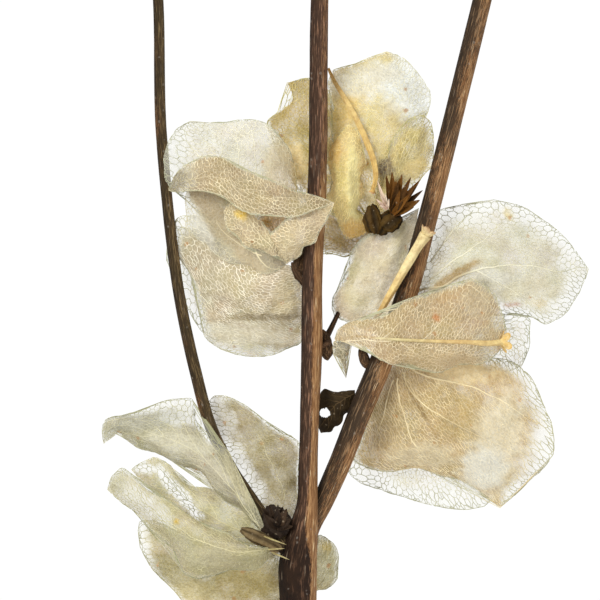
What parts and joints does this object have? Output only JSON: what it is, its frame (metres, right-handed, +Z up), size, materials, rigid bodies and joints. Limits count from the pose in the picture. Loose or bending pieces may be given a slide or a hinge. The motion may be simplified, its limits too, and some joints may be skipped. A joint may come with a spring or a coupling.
{
  "type": "dried flower bunch",
  "caption": "Bleached dried bougainvillea branch with papery vein-netted flower heads, forking from a thick woody foot and lying on its side.",
  "frame": {"origin": "centre of the bounding box's footprint, on the surface that the bunch lies on", "axes": "+Y along the stems from the foot to the tips, +Z up from the surface, +X to the right as seen from above"},
  "size_m": [0.1507, 0.2976, 0.0482],
  "materials": {
    "dried_wood": "dry bark, matte",
    "ivory_bract": "papery, matte, see-through in the real thing",
    "yellow_bract": "papery, matte",
    "cream_flower": "papery, matte",
    "dark_bud": "dry, matte",
    "dried_leaf": "crumpled, matte"
  },
  "bodies": {
    "root": {"branch": "dried_wood", "left_head": "ivory_bract", "upper_head": "yellow_bract", "right_head": "ivory_bract", "front_head": "ivory_bract", "lower_head": "ivory_bract", "left_tip_head": "ivory_bract", "middle_tip_head": "ivory_bract", "right_tip_head": "ivory_bract", "upper_flower": "cream_flower", "right_flower": "cream_flower", "upper_calyx": "dark_bud", "lower_calyx": "dark_bud", "seed_pod": "dark_bud", "dried_leaf": "dried_leaf"}
  },
  "joints": []
}
